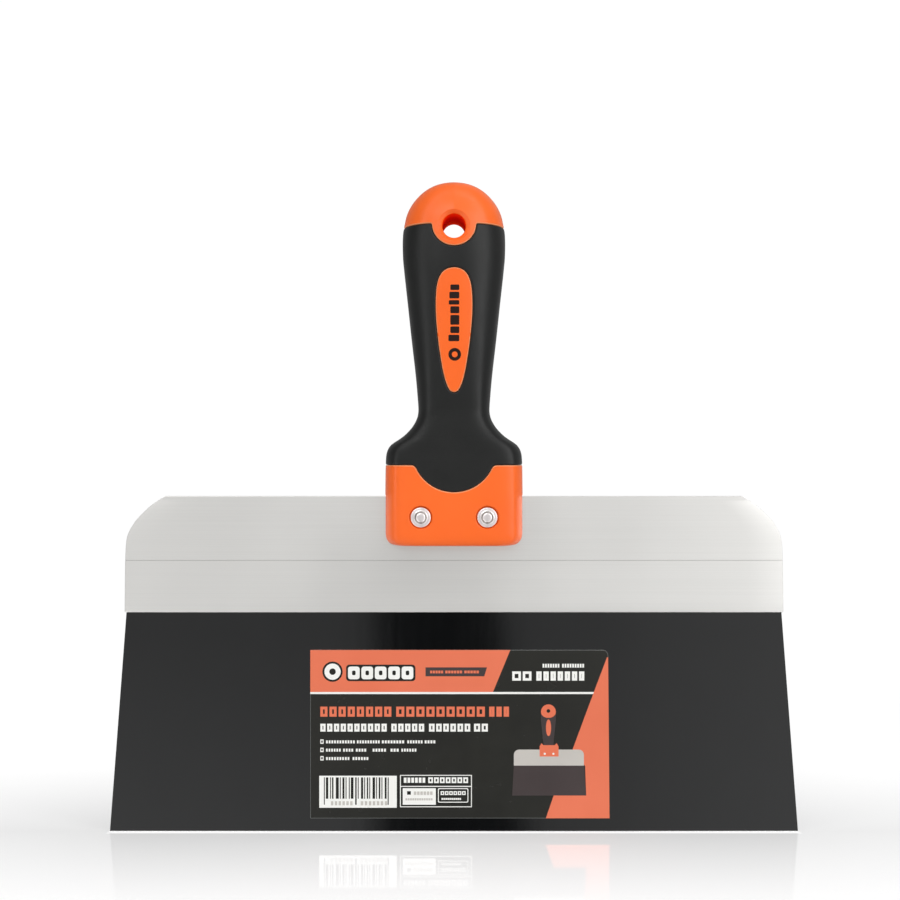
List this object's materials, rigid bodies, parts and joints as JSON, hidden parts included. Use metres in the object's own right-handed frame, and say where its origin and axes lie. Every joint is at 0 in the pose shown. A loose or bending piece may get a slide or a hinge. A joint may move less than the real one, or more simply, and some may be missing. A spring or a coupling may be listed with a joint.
{
  "type": "taping knife",
  "caption": "Wide flexible taping knife: black spring-steel blade in an aluminium backing, with a two-tone riveted grip handle and a hang hole.",
  "frame": {"origin": "middle of the blade's working edge, on the blade's mid-plane", "axes": "+Z from the edge up along the handle, +X along the edge to the right of the labelled side, +Y away from the labelled side"},
  "size_m": [0.254, 0.028, 0.2393],
  "materials": {
    "orange_plastic": "semi-gloss moulded",
    "black_rubber": "soft-touch matt",
    "satin_aluminium": "satin",
    "black_steel": "black coated, satin",
    "label_print": "printed, semi-gloss",
    "plated_steel": "plated"
  },
  "bodies": {
    "handle": {"handle_core": "orange_plastic", "grip_overmould": "black_rubber", "backing": "satin_aluminium", "blade_clamped_strip": "black_steel", "rivet_left": "plated_steel", "rivet_right": "plated_steel", "washer_front_left": "plated_steel", "washer_front_right": "plated_steel", "washer_rear_left": "plated_steel", "washer_rear_right": "plated_steel"},
    "blade": {"blade_flex_panel": "black_steel", "blade_label": "label_print"}
  },
  "joints": [
    {"name": "blade_flex", "type": "hinge", "parent": "handle", "child": "blade", "pos_m": [0, 0, 0.06875], "axis": [1, 0, 0], "range_deg": [-12, 12], "stiffness_Nm_per_rad": 14.4}
  ]
}
